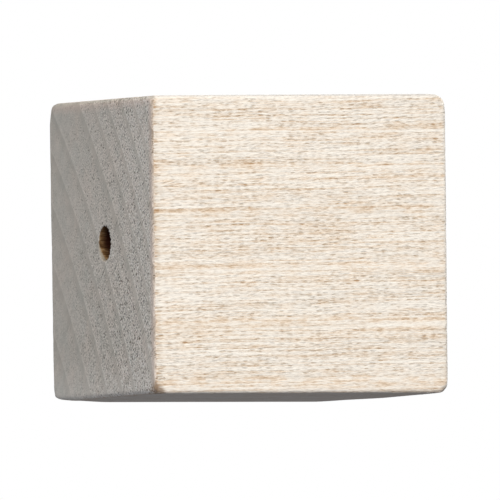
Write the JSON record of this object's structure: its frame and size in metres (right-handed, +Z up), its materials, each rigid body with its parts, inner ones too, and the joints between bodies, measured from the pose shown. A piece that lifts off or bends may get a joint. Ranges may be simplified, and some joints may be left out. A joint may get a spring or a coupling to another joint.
{
  "type": "wooden cube",
  "caption": "Cube of pale, fine-grained wood with sanded edges and a blind screw hole drilled into its end grain.",
  "frame": {"origin": "middle of the underside, on the surface that the cube rests on", "axes": "+X along the grain, away from the drilled end; -Y out of the front face; +Z up"},
  "size_m": [0.0314, 0.0314, 0.03],
  "materials": {
    "maple": "planed and lightly sanded, with no oil or varnish"
  },
  "bodies": {
    "root": {"wooden_cube": "maple"}
  },
  "joints": []
}
